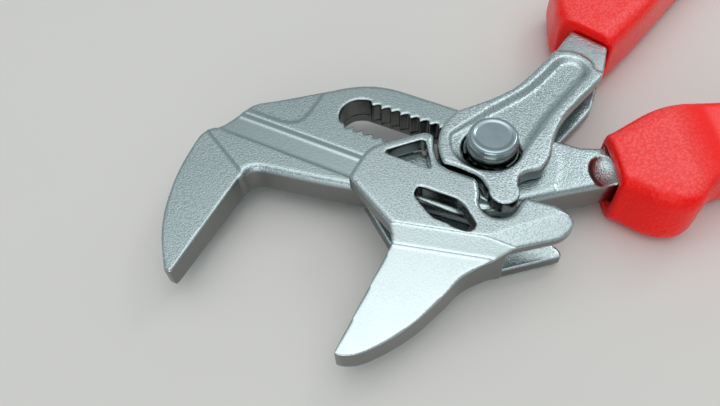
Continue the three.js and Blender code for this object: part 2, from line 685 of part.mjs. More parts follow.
/** Push-button bolt: button, flat-sided shaft, teeth and the flange that holds it in the slot. */
function makeButtonBolt() {
  const flats = (half, low, high) => block([-FAR, -half, low], [FAR, half, high]);
  const shaft = round(BOLT_RADIUS, FLANGE_HIGH, BARREL_START_Z)
    .intersect(flats(FLAT_HALF, -FAR, FAR));
  const flange = round(BOLT_RADIUS, FLANGE_LOW, FLANGE_HIGH)
    .intersect(flats(PLAIN_SLOT_HALF - BOLT_CLEARANCE, -FAR, FAR));
  const rim_low = BUTTON_TOP_Z - BUTTON_RIM;
  const ring_outer = BUTTON_RADIUS - BUTTON_CHAMFER;
  const ring_inner = ring_outer - BUTTON_RING;
  const button = new THREE.LatheGeometry([
    new THREE.Vector2(0, BARREL_START_Z),
    new THREE.Vector2(BARREL_RADIUS, BARREL_START_Z),
    new THREE.Vector2(BARREL_RADIUS, rim_low),
    new THREE.Vector2(BUTTON_RADIUS, rim_low),
    new THREE.Vector2(BUTTON_RADIUS, BUTTON_TOP_Z - BUTTON_CHAMFER),
    new THREE.Vector2(ring_outer, BUTTON_TOP_Z),
    new THREE.Vector2(ring_inner, BUTTON_TOP_Z),
    new THREE.Vector2(ring_inner - BUTTON_SUNK, BUTTON_TOP_Z - BUTTON_SUNK),
    new THREE.Vector2(0, BUTTON_TOP_Z - BUTTON_SUNK),
  ], ROUND_STEPS).rotateX(Math.PI / 2);

  // The tooth block carries as many teeth as fit in the bolt's width.
  const { upper, lower } = toothedEdges(-BOLT_RADIUS, BOLT_RADIUS, RACK_HALF_GAP - TOOTH_CLEARANCE);
  const section = new THREE.Shape([...upper, ...lower].map(([x, y]) => new THREE.Vector2(x, y)));
  const tooth_block = plate(section, TOOTH_BLOCK_LOW, TOOTH_BLOCK_HIGH)
    .intersect(round(BOLT_RADIUS, -FAR, FAR));
  return shaft.add(flange).add(toSolid(button)).add(tooth_block);
}

/** Disc that closes the bolt's bore underneath. */
function makeCoverDisc() {
  return round(BOLT_RADIUS, -HEAD_HALF, COVER_HIGH);
}

/** Centre line of the helical spring. */
class Helix extends THREE.Curve {
  constructor(radius, low, high, turns) {
    super();
    Object.assign(this, { radius, low, high, turns });
  }

  getPoint(share, target = new THREE.Vector3()) {
    const angle = share * this.turns * 2 * Math.PI;
    const height = this.low + (this.high - this.low) * share;
    return target.set(this.radius * Math.cos(angle), this.radius * Math.sin(angle), height);
  }
}

/** Coil spring between the cover disc and the bolt's flange. */
function makeSpring() {
  const low = COVER_HIGH + SPRING_SEAT_GAP + SPRING_WIRE / 2;
  const high = FLANGE_LOW - SPRING_SEAT_GAP - SPRING_WIRE / 2;
  const helix = new Helix(SPRING_RADIUS, low, high, SPRING_TURNS);
  const section = new THREE.Shape(arcPoints([0, 0], SPRING_WIRE / 2, 0, 288, 4)
    .map(([x, y]) => new THREE.Vector2(x, y)));
  const geometry = new THREE.ExtrudeGeometry(section, {
    steps: Math.round(16 * SPRING_TURNS),
    extrudePath: helix,
  });
  const coil_gap = (high - low) / SPRING_TURNS - SPRING_WIRE;
  console.log(`least gap between spring coils: ${coil_gap.toFixed(2)} mm`);
  return toSolid(geometry);
}

/**
 * Outline of a grip, drawn along its length from the front and outwards from its inner edge.
 *
 * The mouth's two edges are given across the grip. The outline starts ahead of the front, and the
 * front is cut square later. The guard's corners run from its end to the front.
 */
function gripShape({ length, mouth_inner, mouth_outer, shoulder, guard }) {
  return outline([
    [-FRONT_ALLOWANCE, mouth_outer, 5.2],
    [-FRONT_ALLOWANCE, mouth_inner, 5.2],
    [0, mouth_inner, 2],
    [...shoulder, 6],
    [length * 0.55, 0.6, 8],
    [length - 3, 0.3, GRIP_WIDTH * 0.26],
    [length, GRIP_WIDTH / 2, GRIP_WIDTH * 0.18],
    [length - 3, GRIP_WIDTH - 0.8, GRIP_WIDTH * 0.26],
    [length * 0.62, GRIP_WIDTH + 0.9, 7],
    ...guard.map(([along, height, cut]) => [along, GRIP_WIDTH + height, cut]),
    [0, mouth_outer, 2],
  ]);
}

/** Grip shell and its soft inlay, in the grip's own axes, with the space for the tang cut out. */
function makeGrip({ shape, length, handle_start, tang_space }) {
  const front = block([-FAR, -FAR, -FAR], [0, FAR, FAR]);
  const lip_chamfer = prism([0, -FAR / 2], 90, FAR, [
    [0, HEAD_HALF - LIP_DROP],
    [-LIP_RUN, HEAD_HALF],
    [-LIP_RUN, FAR],
    [0, FAR],
  ]);
  const handle_slope = prism([0, -FAR / 2], 90, FAR, [
    [-handle_start, FAR],
    [-handle_start, HEAD_HALF],
    [-handle_start - HANDLE_SLOPE, HEAD_HALF - HANDLE_DROP],
    [-FAR, HEAD_HALF - HANDLE_DROP],
    [-FAR, FAR],
  ]);
  const outer = cutBothSides(
    roundedPlate(shape, -HEAD_HALF, HEAD_HALF, GRIP_ROUND, 3).subtract(front),
    handle_slope,
  );
  const inlay_end = length - INLAY_TAIL;
  const inner_edge = GRIP_WIDTH - INLAY_DEPTH;
  const recess = block(
    [INLAY_START - INLAY_CLEARANCE, inner_edge - INLAY_CLEARANCE, -INLAY_HALF - INLAY_CLEARANCE],
    [inlay_end + INLAY_CLEARANCE, FAR, INLAY_HALF + INLAY_CLEARANCE],
  );
  const inlay = plate(shape, -INLAY_HALF, INLAY_HALF)
    .translate([0, INLAY_PROUD, 0])
    .intersect(block([INLAY_START, inner_edge, -INLAY_HALF], [inlay_end, FAR, INLAY_HALF]));
  return { shell: cutBothSides(outer, lip_chamfer).subtract(tang_space).subtract(recess), inlay };
}

/** Grip and inlay of the body's handle. */
function makeBodyGrip() {
  const shape = gripShape({
    length: BODY_GRIP_LENGTH,
    mouth_inner: 6.8,
    mouth_outer: GRIP_WIDTH + 3.2,
    shoulder: [13.4, -0.6],
    guard: [[26, 0, 4], [19.5, 2.4, 2.4], [13, 9.8, 3.5], [6.5, 8.6, 2.8]],
  });
  // The grip's axes run along the handle and away from the lever.
  const place = (solid) => turned(
    solid.mirror([0, 1, 0]).translate([BODY_GRIP_START, BODY_GRIP_INNER, 0]),
    HANDLE_ANGLE,
  );
  const cavity = bodyTangEdges(SEAT_CLEARANCE)
    .map(([along, across, cut]) => [along - BODY_GRIP_START, BODY_GRIP_INNER - across, cut]);
  const space = plate(outline(cavity), -TAIL_HALF - SEAT_CLEARANCE, TAIL_HALF + SEAT_CLEARANCE);
  const { shell, inlay } = makeGrip({
    shape,
    length: BODY_GRIP_LENGTH,
    handle_start: 13.5,
    tang_space: space,
  });
  return { shell: place(shell), inlay: place(inlay) };
}

/** Grip and inlay of the lever. */
function makeLeverGrip() {
  const shape = gripShape({
    length: LEVER_GRIP_LENGTH,
    mouth_inner: 0.5,
    mouth_outer: GRIP_WIDTH - 2.6,
    shoulder: [12.8, 0],
    guard: [[25.8, 0, 3.5], [20.8, 3.6, 2.2], [15.3, 9.6, 4], [2.8, 0.8, 2.2]],
  });
  const place = (solid) => turned(solid.translate([LEVER_GRIP_START, LEVER_GRIP_INNER, 0]), LEVER_ANGLE);
  const space = leverTang(SEAT_CLEARANCE, SHANK_END - LEVER_MOUTH_ROOM)
    .translate([-LEVER_GRIP_START, -LEVER_GRIP_INNER, 0]);
  const { shell, inlay } = makeGrip({
    shape,
    length: LEVER_GRIP_LENGTH,
    handle_start: 16.8,
    tang_space: space,
  });
  return { shell: place(shell), inlay: place(inlay) };
}

const FINISHES = {
  forging: { color: 0xb4c2c4, roughness: 0.42, metalness: 0.9 },
  button: { color: 0xc4cccd, roughness: 0.2, metalness: 1 },
  spring: { color: 0x8c9092, roughness: 0.35, metalness: 1 },
  shell: { color: 0xe3170f, roughness: 0.5, metalness: 0 },
  inlay: { color: 0x1d2550, roughness: 0.8, metalness: 0 },
};

/** Named mesh of one sub-part with a material of its own. */
function subPart(name, solid, finish) {
  const mesh = new THREE.Mesh(toGeometry(solid), new THREE.MeshStandardMaterial(FINISHES[finish]));
  mesh.name = name;
  return mesh;
}

const body_grip = makeBodyGrip();
const lever_grip = makeLeverGrip();

const wrench = new THREE.Group();
wrench.add(
  subPart('body', makeBody(), 'forging'),
  subPart('sliding_jaw', makeSlidingJaw(), 'forging'),
  subPart('lever', makeLever(), 'forging'),
  subPart('button_bolt', makeButtonBolt(), 'button'),
  subPart('bolt_spring', makeSpring(), 'spring'),
  subPart('cover_disc', makeCoverDisc(), 'button'),
  subPart('body_grip', body_grip.shell, 'shell'),
  subPart('body_grip_inlay', body_grip.inlay, 'inlay'),
  subPart('lever_grip', lever_grip.shell, 'shell'),
  subPart('lever_grip_inlay', lever_grip.inlay, 'inlay'),
);
wrench.position.z = HEAD_HALF;

export default wrench;
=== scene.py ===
"""Looks of a pliers wrench: forged chrome jaws and lever, a push button and two red grips, on a pale floor.

Lengths are millimetres in the classes below and metres in Blender. The hinge bolt's axis is the Z axis, the
sliding jaw travels along X and the jaws point to -Y.
"""

from __future__ import annotations

import logging
import math
from dataclasses import dataclass, field
from enum import Enum
from typing import Any, Mapping, Sequence, Union

import bpy
from mathutils import Matrix, Vector

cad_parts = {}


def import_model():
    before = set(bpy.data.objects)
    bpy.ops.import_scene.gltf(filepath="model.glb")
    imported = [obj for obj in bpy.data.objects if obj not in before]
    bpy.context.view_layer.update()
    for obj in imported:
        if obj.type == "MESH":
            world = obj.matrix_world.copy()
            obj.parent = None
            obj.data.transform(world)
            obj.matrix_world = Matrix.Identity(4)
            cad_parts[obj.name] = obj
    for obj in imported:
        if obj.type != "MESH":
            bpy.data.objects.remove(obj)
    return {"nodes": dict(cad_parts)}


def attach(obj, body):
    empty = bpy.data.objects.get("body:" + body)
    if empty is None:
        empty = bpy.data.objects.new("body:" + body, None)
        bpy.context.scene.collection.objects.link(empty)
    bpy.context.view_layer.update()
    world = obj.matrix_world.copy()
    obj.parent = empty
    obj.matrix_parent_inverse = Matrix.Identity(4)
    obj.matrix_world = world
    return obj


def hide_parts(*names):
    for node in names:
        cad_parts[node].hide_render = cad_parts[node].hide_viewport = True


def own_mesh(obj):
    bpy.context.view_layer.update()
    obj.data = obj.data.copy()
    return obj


LOG = logging.getLogger("pliers_wrench")
MM = 0.001
CELL_SMOOTHNESS = 0.35
WELD_DISTANCE = 1e-6
SMOOTHING_FACTOR = 0.5
NOISE_MEAN = 0.5
NOISE_ROUGHNESS = 0.55

Number = Union[float, "Value"]
Colour = tuple[float, float, float, float]
Point = tuple[float, float, float]


class Value:
    """A shader socket that takes part in Python arithmetic."""

    def __init__(self, graph: Graph, socket: bpy.types.NodeSocket) -> None:
        """Wraps a socket of a graph's node."""
        self.graph = graph
        self.socket = socket

    def __add__(self, other: Number) -> Value:
        """Sum of two values."""
        return self.graph.math("ADD", self, other)

    __radd__ = __add__

    def __sub__(self, other: Number) -> Value:
        """Difference of two values."""
        return self.graph.math("SUBTRACT", self, other)

    def __rsub__(self, other: Number) -> Value:
        """Difference with the value on the right."""
        return self.graph.math("SUBTRACT", other, self)

    def __mul__(self, other: Number) -> Value:
        """Product of two values."""
        return self.graph.math("MULTIPLY", self, other)

    __rmul__ = __mul__

    def __abs__(self) -> Value:
        """Size of the value without its sign."""
        return self.graph.math("ABSOLUTE", self)

    def rise(self, low: float, high: float) -> Value:
        """Smooth step from 0 to 1.

        Args:
            low: where the step starts.
            high: where the step ends.

        Returns:
            The step's value.
        """
        inputs = {"Value": self, "From Min": low, "From Max": high}
        return self.graph.out("ShaderNodeMapRange", {"interpolation_type": "SMOOTHSTEP"}, inputs)


class Graph:
    """Node graph of one material or of the world."""

    def __init__(self, tree: bpy.types.NodeTree) -> None:
        """Empties a node tree and wraps it."""
        self.tree = tree
        tree.nodes.clear()

    def node(self, kind: str, settings: Mapping[str, Any], inputs: Mapping[Any, Any]) -> bpy.types.Node:
        """Adds a node.

        Args:
            kind: the node's type.
            settings: its properties; "stops" holds a colour ramp's places and colours.
            inputs: values or links of its sockets, by name or place.

        Returns:
            The new node.
        """
        node = self.tree.nodes.new(kind)
        for name, setting in settings.items():
            if name == "stops":
                elements = node.color_ramp.elements
                while len(elements) < len(setting):
                    elements.new(1.0)
                for element, (place, colour) in zip(elements, setting):
                    element.position = place
                    element.color = colour
            else:
                setattr(node, name, setting)
        for name, value in inputs.items():
            if isinstance(value, Value):
                self.tree.links.new(value.socket, node.inputs[name])
            else:
                node.inputs[name].default_value = value
        return node

    def out(
        self,
        kind: str,
        settings: Mapping[str, Any],
        inputs: Mapping[Any, Any],
        output: Union[int, str] = 0,
    ) -> Value:
        """Adds a node and gives one of its outputs.

        Args:
            kind: the node's type.
            settings: its properties.
            inputs: values or links of its sockets.
            output: name or place of the output.

        Returns:
            The output as a value.
        """
        return Value(self, self.node(kind, settings, inputs).outputs[output])

    def math(self, operation: str, *terms: Number) -> Value:
        """Result of a Math node on one or more terms."""
        return self.out("ShaderNodeMath", {"operation": operation}, dict(enumerate(terms)))

    def place(self) -> Value:
        """Point on the piece in its own axes, in metres."""
        return self.out("ShaderNodeTexCoord", {}, {}, "Object")

    def upward(self) -> Value:
        """How far the surface faces up or down: 1 on level faces and 0 on walls."""
        normal = self.out("ShaderNodeTexCoord", {}, {}, "Normal")
        return abs(self.out("ShaderNodeSeparateXYZ", {}, {"Vector": normal}, "Z"))

    def sharpness(self) -> Value:
        """How far the surface bends: above one half on outer edges and below it in hollows."""
        return self.out("ShaderNodeNewGeometry", {}, {}, "Pointiness")

    def noise(self, place: Value, size: float, detail: float) -> Value:
        """Noise whose bumps are about as wide as the given size in millimetres."""
        inputs = {"Vector": place, "Scale": 1 / (size * MM), "Detail": detail, "Roughness": NOISE_ROUGHNESS}
        return self.out("ShaderNodeTexNoise", {}, inputs)

    def cells(self, place: Value, size: float) -> Value:
        """Distance to the middle of rounded cells of a size in millimetres."""
        inputs = {"Vector": place, "Scale": 1 / (size * MM), "Smoothness": CELL_SMOOTHNESS}
        return self.out("ShaderNodeTexVoronoi", {"feature": "SMOOTH_F1"}, inputs)

    def mix_colours(self, share: Number, first: Any, second: Any) -> Value:
        """Colour between two colours."""
        return self.out("ShaderNodeMix", {"data_type": "RGBA"}, {0: share, 6: first, 7: second}, 2)

    def bump(self, height: Value, depth: float, strength: float) -> Value:
        """Normal of a surface with small heights.

        Args:
            height: height from 0 to 1.
            depth: what a height of 1 stands for, in millimetres.
            strength: how much of it shows.

        Returns:
            The bumped normal.
        """
        inputs = {"Height": height, "Distance": depth * MM, "Strength": strength}
        return self.out("ShaderNodeBump", {}, inputs)

    def finish(self, inputs: Mapping[str, Any]) -> None:
        """Closes a material's graph with its surface shader."""
        surface = self.out("ShaderNodeBsdfPrincipled", {}, inputs)
        self.node("ShaderNodeOutputMaterial", {}, {"Surface": surface})


def new_material(name: str) -> tuple[bpy.types.Material, Graph]:
    """Makes an empty node material.

    Args:
        name: the material's name.

    Returns:
        The material and its graph.
    """
    material = bpy.data.materials.new(name)
    material.use_nodes = True
    return material, Graph(material.node_tree)


@dataclass(frozen=True)
class GroundStrip:
    """Straight strip of a forging that was ground smooth.

    It starts at a line through a point and runs on in the direction of a heading, in degrees from +X.
    """

    start: tuple[float, float]
    heading: float
    width: float
    edge: float = 0.25

    def share(self, graph: Graph, place: Value) -> Value:
        """Mask of the strip: 1 inside and 0 outside."""
        across = Vector((math.cos(math.radians(self.heading)), math.sin(math.radians(self.heading)), 0))
        reach = graph.out("ShaderNodeVectorMath", {"operation": "DOT_PRODUCT"}, {0: place, 1: across}, "Value")
        begin = across.dot(Vector((*self.start, 0))) * MM
        end = begin + self.width * MM
        edge = self.edge * MM
        return reach.rise(begin - edge, begin + edge) * (1 - reach.rise(end - edge, end + edge))


@dataclass(frozen=True)
class ForgedChrome:
    """Satin chrome on a blasted forging, with smoother walls, edges and ground strips; painted shade darkens
    the walls and the grain's hollows, and a painted highlight lightens the edges.
    """

    name: str
    strips: tuple[GroundStrip, ...] = ()
    colour: Colour = (0.42, 0.505, 0.52, 1)
    pit_shade_colour: Colour = (0.31, 0.39, 0.405, 1)
    wall_painted_shade: Colour = (0.225, 0.23, 0.225, 1)
    edge_wear_and_highlight: Colour = (0.66, 0.71, 0.715, 1)
    grain: float = 0.38
    depth: float = 0.1
    roughness: float = 0.24
    wall_roughness: float = 0.2
    roughness_spread: float = 0.1
    wall_range: tuple[float, float] = (0.15, 0.45)
    edge_range: tuple[float, float] = (0.515, 0.58)
    edge_smoothing: float = 0.6
    edge_highlight_share: float = 0.7
    strip_smoothing: float = 0.75
    flattening: float = 0.85
    fine_size: float = 0.4
    fine_share: float = 0.25
    pit_shade_range: tuple[float, float] = (0.3, 0.6)
    pit_shade_share: float = 0.8
    cloud_size: float = 8.0
    cloud_share: float = 0.3

    def material(self) -> bpy.types.Material:
        """Builds the material."""
        material, graph = new_material(self.name)
        place = graph.place()
        wall = 1 - graph.upward().rise(*self.wall_range)
        edge = graph.sharpness().rise(*self.edge_range)
        smooth = graph.math("MAXIMUM", wall, edge * self.edge_smoothing)
        for strip in self.strips:
            smooth = graph.math("MAXIMUM", smooth, strip.share(graph, place) * self.strip_smoothing)
        crinkle = graph.noise(place, self.grain, 2.0)
        fine = graph.noise(place, self.grain * self.fine_size, 1.0)
        cloud = graph.noise(place, self.cloud_size, 2.0)
        relief = crinkle * (1 - self.fine_share) + fine * self.fine_share
        height = relief * (1 - smooth * self.flattening)
        # Painted shade in the grain's hollows, plus a random cloudy tone.
        pit_shade_and_tone = (1 - crinkle.rise(*self.pit_shade_range)) * (1 - smooth) * self.pit_shade_share
        pit_shade_and_tone = pit_shade_and_tone + (cloud - NOISE_MEAN) * self.cloud_share
        face = graph.mix_colours(pit_shade_and_tone, self.colour, self.pit_shade_colour)
        # Painted shade: vertical walls get a darker base colour, standing in for their darker reflections.
        sides = graph.mix_colours(wall, face, self.wall_painted_shade)
        polish = smooth * (self.roughness - self.wall_roughness)
        graph.finish({
            # Painted highlight, partly polishing wear: sharp outer edges get a lighter base colour.
            "Base Color": graph.mix_colours(edge * (1 - wall) * self.edge_highlight_share, sides, self.edge_wear_and_highlight),
            "Metallic": 1.0,
            "Roughness": self.roughness - polish + (fine - NOISE_MEAN) * self.roughness_spread,
            "Normal": graph.bump(height, self.depth, 1.0),
        })
        return material


@dataclass(frozen=True)
class PolishedSteel:
    """Bright plated steel with faint turning marks and smears, and painted shade below a given height."""

    name: str
    colour: Colour = (0.39, 0.48, 0.515, 1)
    shade: Colour = (0.31, 0.39, 0.42, 1)
    painted_shade_colour: Colour = (0.19, 0.21, 0.205, 1)
    painted_shade_below: float = -1.0
    painted_shade_blur: float = 0.1
    roughness: float = 0.14
    smear_size: float = 2.6
    smear_roughness: float = 0.08
    scratch_size: float = 0.25
    scratch_roughness: float = 0.06
    scratch_depth: float = 0.006
    scratch_strength: float = 0.6

    def material(self) -> bpy.types.Material:
        """Builds the material."""
        material, graph = new_material(self.name)
        place = graph.place()
        smear = graph.noise(place, self.smear_size, 3.0)
        scratch = graph.noise(place, self.scratch_size, 2.0)
        height = graph.out("ShaderNodeSeparateXYZ", {}, {"Vector": place}, "Z")
        low = (self.painted_shade_below - self.painted_shade_blur) * MM
        high = (self.painted_shade_below + self.painted_shade_blur) * MM
        # Painted shade: below the given height the colour turns dark, standing in for shade and dark
        # reflections.
        unshaded_share = height.rise(low, high)
        plating = graph.mix_colours(smear, self.shade, self.colour)
        scratched = (scratch - NOISE_MEAN) * self.scratch_roughness
        graph.finish({
            "Base Color": graph.mix_colours(unshaded_share, self.painted_shade_colour, plating),
            "Metallic": 1.0,
            "Roughness": self.roughness + smear * self.smear_roughness + scratched,
            "Normal": graph.bump(scratch, self.scratch_depth, self.scratch_strength),
        })
        return material


@dataclass(frozen=True)
class GripShell:
    """Red plastic with a moulded leather grain on the guard, which runs out on the handle; painted shade
    darkens the grain's creases and a painted pinkish sheen lightens its level tops.
    """

    name: str
    handle: GroundStrip
    colour: Colour = (0.96, 0.006, 0.002, 1)
    shade: Colour = (0.80, 0.0015, 0.001, 1)
    painted_sheen: Colour = (0.95, 0.14, 0.14, 1)
    grain: float = 0.6
    depth: float = 0.13
    roughness: float = 0.25
    roughness_spread: float = 0.12
    specular: float = 0.25
    handle_flattening: float = 0.85
    fine_size: float = 0.6
    fine_share: float = 0.4
    crease_shade_range: tuple[float, float] = (0.3, 0.7)
    crease_shade_share: float = 0.45
    cloud_size: float = 9.0
    cloud_share: float = 0.2
    sheen_range: tuple[float, float] = (0.1, 0.7)
    sheen_share: float = 0.3
    sheen_peaks: float = 0.4
    sheen_level_range: tuple[float, float] = (0.6, 0.95)

    def material(self) -> bpy.types.Material:
        """Builds the material."""
        material, graph = new_material(self.name)
        place = graph.place()
        grained = 1 - self.handle.share(graph, place) * self.handle_flattening
        pebbles = graph.cells(place, self.grain)
        fine = graph.noise(place, self.grain * self.fine_size, 2.0)
        cloud = graph.noise(place, self.cloud_size, 2.0)
        height = ((1 - pebbles) * (1 - self.fine_share) + fine * self.fine_share) * grained
        # Painted shade in the creases between the pebbles, plus a random cloudy tone.
        crease_shade_and_tone = pebbles.rise(*self.crease_shade_range) * grained * self.crease_shade_share
        crease_shade_and_tone = crease_shade_and_tone + cloud * self.cloud_share
        skin = graph.mix_colours(crease_shade_and_tone, self.colour, self.shade)
        # Painted sheen: a pinkish highlight on the pebbles' tops, on level faces of the grain.
        sheen = self.sheen_share + (1 - pebbles.rise(*self.sheen_range)) * self.sheen_peaks
        sheen_on_level_faces = sheen * grained * graph.upward().rise(*self.sheen_level_range)
        graph.finish({
            "Base Color": graph.mix_colours(sheen_on_level_faces, skin, self.painted_sheen),
            "Roughness": self.roughness + (fine - NOISE_MEAN) * self.roughness_spread,
            "Specular IOR Level": self.specular,
            "Normal": graph.bump(height, self.depth, 1.0),
        })
        return material


@dataclass(frozen=True)
class GripInlay:
    """Dark matt rubber."""

    name: str
    colour: Colour = (0.012, 0.020, 0.085, 1)
    dust: Colour = (0.035, 0.045, 0.13, 1)
    dust_range: tuple[float, float] = (0.4, 0.7)
    grain: float = 0.5
    depth: float = 0.05
    strength: float = 0.8
    roughness: float = 0.62
    roughness_spread: float = 0.2

    def material(self) -> bpy.types.Material:
        """Builds the material."""
        material, graph = new_material(self.name)
        place = graph.place()
        fine = graph.noise(place, self.grain, 2.0)
        graph.finish({
            "Base Color": graph.mix_colours(fine.rise(*self.dust_range), self.colour, self.dust),
            "Roughness": self.roughness + (fine - NOISE_MEAN) * self.roughness_spread,
            "Normal": graph.bump(fine, self.depth, self.strength),
        })
        return material


@dataclass(frozen=True)
class Softening:
    """How far the hard edges of a solid are softened, as forging, blasting and plating do."""

    voxel: float
    passes: int
    keep: float = 1.0

    def apply(self, piece: bpy.types.Object) -> None:
        """Adds the modifiers that round the piece's edges.

        Args:
            piece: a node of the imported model, or a copy of one.
        """
        weld = piece.modifiers.new("weld", "WELD")
        weld.merge_threshold = WELD_DISTANCE
        remesh = piece.modifiers.new("remesh", "REMESH")
        remesh.mode = "VOXEL"
        remesh.voxel_size = self.voxel * MM
        remesh.use_smooth_shade = True
        smooth = piece.modifiers.new("smooth", "SMOOTH")
        smooth.factor = SMOOTHING_FACTOR
        smooth.iterations = self.passes
        if self.keep < 1:
            thin = piece.modifiers.new("thin", "DECIMATE")
            thin.ratio = self.keep


@dataclass
class Dressing:
    """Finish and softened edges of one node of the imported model."""

    node: str
    finish: Any
    softening: Softening

    def build(self, nodes: Mapping[str, bpy.types.Object]) -> bpy.types.Object:
        """Dresses the node.

        Args:
            nodes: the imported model's nodes by name.

        Returns:
            The dressed node.
        """
        piece = nodes[self.node]
        piece.data.materials.clear()
        piece.data.materials.append(self.finish.material())
        self.softening.apply(piece)
        return piece


def copy_of(node: bpy.types.Object, name: str) -> bpy.types.Object:
    """Makes a piece with a copy of a node's mesh.

    Args:
        node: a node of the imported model.
        name: the piece's name.

    Returns:
        The piece, in the scene.
    """
    piece = bpy.data.objects.new(name, node.data.copy())
    bpy.context.scene.collection.objects.link(piece)
    return piece


@dataclass
class PressedSpring:
    """Coil spring under the button."""

    node: str = "bolt_spring"
    body: str = "carriage"
    joint: str = "button_press"
    stroke: float = 2.9
    finish: PolishedSteel = PolishedSteel("spring_steel", roughness=0.3)

    def build(self, nodes: Mapping[str, bpy.types.Object]) -> bpy.types.Object:
        """Makes the spring in the place of its node.

        Args:
            nodes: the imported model's nodes by name.

        Returns:
            The spring.
        """
        piece = copy_of(nodes[self.node], f"{self.node}_coil")
        piece.data.materials.clear()
        piece.data.materials.append(self.finish.material())
        piece.data.shade_smooth()
        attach(piece, self.body)
        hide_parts(self.node)
        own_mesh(piece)
        return piece


def smooth_step(low: float, high: float, value: float) -> float:
    """Smooth step from 0 at the low end to 1 at the high end."""
    share = min(1.0, max(0.0, (value - low) / (high - low)))
    return share * share * (3 - 2 * share)


@dataclass
class RibbedInlay:
    """Soft inlay of a grip: a crowned pad with cross ribs inside a plain border.

    The heading runs along the handle, and outward is 1 where the pad faces the heading's left and -1 where it
    faces its right.
    """

    node: str
    body: str
    heading: float
    outward: int
    finish: GripInlay
    softening: Softening = Softening(voxel=0.3, passes=8)
    pitch: float = 2.6
    depth: float = 0.55
    flank: tuple[float, float] = (0.3, 0.6)
    border: float = 1.7
    border_slope: float = 0.5
    facing_range: tuple[float, float] = (0.5, 0.9)

    def build(self, nodes: Mapping[str, bpy.types.Object]) -> bpy.types.Object:
        """Makes the pad in the place of its node.

        Args:
            nodes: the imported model's nodes by name.

        Returns:
            The pad.
        """
        name = f"{self.node}_ribbed"
        piece = copy_of(nodes[self.node], name)
        self.softening.apply(piece)
        soft = bpy.data.meshes.new_from_object(piece.evaluated_get(bpy.context.evaluated_depsgraph_get()))
        piece.modifiers.clear()
        piece.data = soft
        soft.name = name
        self.cut_ribs(soft)
        soft.materials.clear()
        soft.materials.append(self.finish.material())
        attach(piece, self.body)
        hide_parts(self.node)
        return piece

    def cut_ribs(self, mesh: bpy.types.Mesh) -> None:
        """Sinks the valleys between the ribs into the pad's outer face.

        Args:
            mesh: the plain pad.
        """
        turn = math.radians(self.heading)
        along = Vector((math.cos(turn), math.sin(turn), 0))
        outside = Vector((-math.sin(turn), math.cos(turn), 0)) * self.outward
        places = [(along.dot(vertex.co) / MM, vertex.co.z / MM) for vertex in mesh.vertices]
        facings = [outside.dot(vertex.normal) for vertex in mesh.vertices]
        ends = min(place[0] for place in places), max(place[0] for place in places)
        sides = min(place[1] for place in places), max(place[1] for place in places)
        for vertex, (run, height), facing in zip(mesh.vertices, places, facings):
            margin = min(run - ends[0], ends[1] - run, height - sides[0], sides[1] - height)
            inside = smooth_step(self.border, self.border + self.border_slope, margin)
            wave = 0.5 - 0.5 * math.cos(2 * math.pi * (run - ends[0]) / self.pitch)
            valley = 1 - smooth_step(*self.flank, wave)
            share = valley * inside * smooth_step(*self.facing_range, facing)
            vertex.co -= outside * (self.depth * MM * share)
        mesh.update()


@dataclass
class Forgings:
    """Body, sliding jaw and lever."""

    body_softening: Softening = Softening(voxel=0.3, passes=4, keep=0.5)
    jaw_softening: Softening = Softening(voxel=0.3, passes=4, keep=0.5)
    lever_softening: Softening = Softening(voxel=0.3, passes=10, keep=0.5)
    groove_low: float = -15.85
    groove_width: float = 6.05
    blade_edge: tuple[float, float] = (-9.6, -24.1)
    blade_heading: float = -75.4
    blade_width: float = 60.0
    blade_blur: float = 1.2
    # Painted light: a lighter copy of the body's chrome, used on the jaw and the lever.
    lit_chrome_colour: Colour = (0.50, 0.585, 0.60, 1)

    def parts(self) -> list[Dressing]:
        """Dressings of the three forgings."""
        groove = GroundStrip((0.0, self.groove_low), 90.0, self.groove_width)
        blade = GroundStrip(self.blade_edge, self.blade_heading, self.blade_width, self.blade_blur)
        body = ForgedChrome("body_chrome", (groove,))
        jaw = ForgedChrome("jaw_chrome", (blade,), self.lit_chrome_colour, grain=0.34, depth=0.05)
        lever = ForgedChrome("lever_chrome", (), self.lit_chrome_colour, grain=0.36, depth=0.11)
        return [
            Dressing("body", body, self.body_softening),
            Dressing("sliding_jaw", jaw, self.jaw_softening),
            Dressing("lever", lever, self.lever_softening),
        ]


@dataclass
class Bolt:
    """Push button with its bolt, spring and cover."""

    softening: Softening = Softening(voxel=0.16, passes=3)
    # Height of the cap's underside; the barrel below it gets painted shade.
    cap_low: float = 17.9

    def parts(self) -> list[Union[Dressing, PressedSpring]]:
        """Dressings of the bolt's pieces, and the spring."""
        button = PolishedSteel("button_steel", painted_shade_below=self.cap_low)
        return [
            Dressing("button_bolt", button, self.softening),
            Dressing("cover_disc", PolishedSteel("cover_steel", roughness=0.24), self.softening),
            PressedSpring(),
        ]


@dataclass
class Grips:
    """Red shells and dark inlays of both handles."""

    softening: Softening = Softening(voxel=0.5, passes=14, keep=0.6)
    body_heading: float = 30.0
    body_handle_start: float = 40.0
    lever_heading: float = 75.0
    lever_handle_start: float = 62.0
    handle_length: float = 200.0
    handle_blur: float = 4.0

    def parts(self) -> list[Union[Dressing, RibbedInlay]]:
        """Dressed shells and ribbed inlays of the grips."""
        handles = (
            ("body", "frame", self.body_heading, -1, self.body_handle_start),
            ("lever", "lever", self.lever_heading, 1, self.lever_handle_start),
        )
        made: list[Union[Dressing, RibbedInlay]] = []
        for handle, body, heading, outward, start in handles:
            turn = math.radians(heading)
            begin = (start * math.cos(turn), start * math.sin(turn))
            plain = GroundStrip(begin, heading, self.handle_length, self.handle_blur)
            made.append(Dressing(f"{handle}_grip", GripShell(f"{handle}_grip_red", plain), self.softening))
            rubber = GripInlay(f"{handle}_inlay_blue")
            made.append(RibbedInlay(f"{handle}_grip_inlay", body, heading, outward, rubber))
        return made


